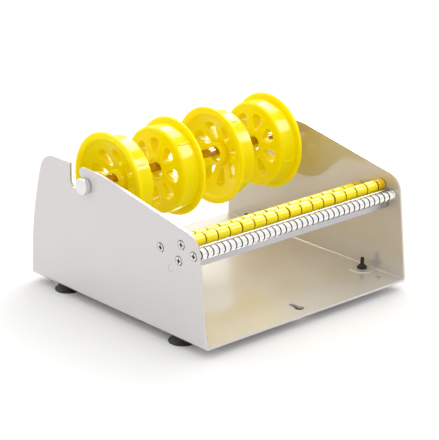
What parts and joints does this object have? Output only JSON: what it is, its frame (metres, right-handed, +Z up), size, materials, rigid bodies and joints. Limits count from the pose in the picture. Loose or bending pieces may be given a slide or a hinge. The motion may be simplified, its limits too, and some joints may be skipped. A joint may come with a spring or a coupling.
{
  "type": "label dispenser",
  "caption": "Table-top dispenser for label rolls: bent sheet cradle with a lift-out spindle, flanged core reels, guide spool rows, a peel ring row and suction feet.",
  "frame": {"origin": "on the floor under the middle of the base", "axes": "+X along the spindle to the right as seen from the front, -Y to the front where labels leave, +Z up"},
  "size_m": [0.2468, 0.226, 0.1487],
  "materials": {
    "cradle_paint": "satin light grey powder coat that mirrors the reels faintly",
    "rail_steel": "satin sheet",
    "reel_plastic": "glossy moulded",
    "spool_plastic": "satin moulded",
    "spindle_steel": "polished plate",
    "ring_nickel": "bright nickel",
    "axle_steel": "drawn",
    "screw_steel": "zinc plated",
    "foot_rubber": "matt"
  },
  "bodies": {
    "cradle": {"frame": "cradle_paint", "guide_rail": "rail_steel", "rail_nuts": "axle_steel", "rail_screws": "screw_steel", "rail_pins": "cradle_paint", "axle_front": "axle_steel", "axle_rear": "axle_steel", "axle_peel": "axle_steel", "axle_screws": "screw_steel", "suction_foot_front_left": "foot_rubber", "suction_foot_front_right": "foot_rubber", "suction_foot_rear_left": "foot_rubber", "suction_foot_rear_right": "foot_rubber", "peel_spacers": "ring_nickel"},
    "spindle_ends": {"spindle_end_left": "spindle_steel", "spindle_end_right": "spindle_steel"},
    "spindle": {"spindle_rod": "spindle_steel"},
    "bush_1": {"reel_bush_1": "reel_plastic"},
    "reel_1": {"reel_1": "reel_plastic"},
    "bush_2": {"reel_bush_2": "reel_plastic"},
    "reel_2": {"reel_2": "reel_plastic"},
    "bush_3": {"reel_bush_3": "reel_plastic"},
    "reel_3": {"reel_3": "reel_plastic"},
    "bush_4": {"reel_bush_4": "reel_plastic"},
    "reel_4": {"reel_4": "reel_plastic"},
    "front_spool_1": {"front_spool_1": "spool_plastic"},
    "front_spool_2": {"front_spool_2": "spool_plastic"},
    "front_spool_3": {"front_spool_3": "spool_plastic"},
    "front_spool_4": {"front_spool_4": "spool_plastic"},
    "front_end_spool": {"front_end_spool": "spool_plastic"},
    "rear_spool_1": {"rear_spool_1": "spool_plastic"},
    "rear_spool_2": {"rear_spool_2": "spool_plastic"},
    "rear_spool_3": {"rear_spool_3": "spool_plastic"},
    "rear_spool_4": {"rear_spool_4": "spool_plastic"},
    "rear_end_spool": {"rear_end_spool": "spool_plastic"},
    "peel_rings": {"peel_rings": "ring_nickel"}
  },
  "joints": [
    {"name": "spindle_slide", "type": "slide", "parent": "cradle", "child": "spindle_ends", "axis": [0, 1, 0], "range_m": [0, 0.0152]},
    {"name": "spindle_spin", "type": "hinge", "parent": "spindle_ends", "child": "spindle", "pos_m": [0, 0.0376, 0.108], "axis": [1, 0, 0], "continuous": true},
    {"name": "bush_1_shift", "type": "slide", "parent": "spindle_ends", "child": "bush_1", "axis": [1, 0, 0], "range_m": [-0.018, 0.014]},
    {"name": "reel_1_spin", "type": "hinge", "parent": "bush_1", "child": "reel_1", "pos_m": [-0.0948, 0.0376, 0.10523], "axis": [1, 0, 0], "continuous": true},
    {"name": "bush_2_shift", "type": "slide", "parent": "spindle_ends", "child": "bush_2", "axis": [1, 0, 0], "range_m": [-0.014, 0.018]},
    {"name": "reel_2_spin", "type": "hinge", "parent": "bush_2", "child": "reel_2", "pos_m": [-0.0217, 0.0376, 0.10523], "axis": [1, 0, 0], "continuous": true},
    {"name": "bush_3_shift", "type": "slide", "parent": "spindle_ends", "child": "bush_3", "axis": [1, 0, 0], "range_m": [-0.018, 0.014]},
    {"name": "reel_3_spin", "type": "hinge", "parent": "bush_3", "child": "reel_3", "pos_m": [0.021, 0.0376, 0.10523], "axis": [1, 0, 0], "continuous": true},
    {"name": "bush_4_shift", "type": "slide", "parent": "spindle_ends", "child": "bush_4", "axis": [1, 0, 0], "range_m": [-0.014, 0.02]},
    {"name": "reel_4_spin", "type": "hinge", "parent": "bush_4", "child": "reel_4", "pos_m": [0.093, 0.0376, 0.10523], "axis": [1, 0, 0], "continuous": true},
    {"name": "front_spool_1_spin", "type": "hinge", "parent": "cradle", "child": "front_spool_1", "pos_m": [0, -0.0819, 0.0893], "axis": [1, 0, 0], "continuous": true},
    {"name": "front_spool_2_spin", "type": "hinge", "parent": "cradle", "child": "front_spool_2", "pos_m": [0, -0.0819, 0.0893], "axis": [1, 0, 0], "continuous": true},
    {"name": "front_spool_3_spin", "type": "hinge", "parent": "cradle", "child": "front_spool_3", "pos_m": [0, -0.0819, 0.0893], "axis": [1, 0, 0], "continuous": true},
    {"name": "front_spool_4_spin", "type": "hinge", "parent": "cradle", "child": "front_spool_4", "pos_m": [0, -0.0819, 0.0893], "axis": [1, 0, 0], "continuous": true},
    {"name": "front_end_spool_spin", "type": "hinge", "parent": "cradle", "child": "front_end_spool", "pos_m": [0, -0.0819, 0.0893], "axis": [1, 0, 0], "continuous": true},
    {"name": "rear_spool_1_spin", "type": "hinge", "parent": "cradle", "child": "rear_spool_1", "pos_m": [0, -0.0568, 0.0801], "axis": [1, 0, 0], "continuous": true},
    {"name": "rear_spool_2_spin", "type": "hinge", "parent": "cradle", "child": "rear_spool_2", "pos_m": [0, -0.0568, 0.0801], "axis": [1, 0, 0], "continuous": true},
    {"name": "rear_spool_3_spin", "type": "hinge", "parent": "cradle", "child": "rear_spool_3", "pos_m": [0, -0.0568, 0.0801], "axis": [1, 0, 0], "continuous": true},
    {"name": "rear_spool_4_spin", "type": "hinge", "parent": "cradle", "child": "rear_spool_4", "pos_m": [0, -0.0568, 0.0801], "axis": [1, 0, 0], "continuous": true},
    {"name": "rear_end_spool_spin", "type": "hinge", "parent": "cradle", "child": "rear_end_spool", "pos_m": [0, -0.0568, 0.0801], "axis": [1, 0, 0], "continuous": true},
    {"name": "peel_spin", "type": "hinge", "parent": "cradle", "child": "peel_rings", "pos_m": [0, -0.0966, 0.0837], "axis": [1, 0, 0], "continuous": true}
  ]
}
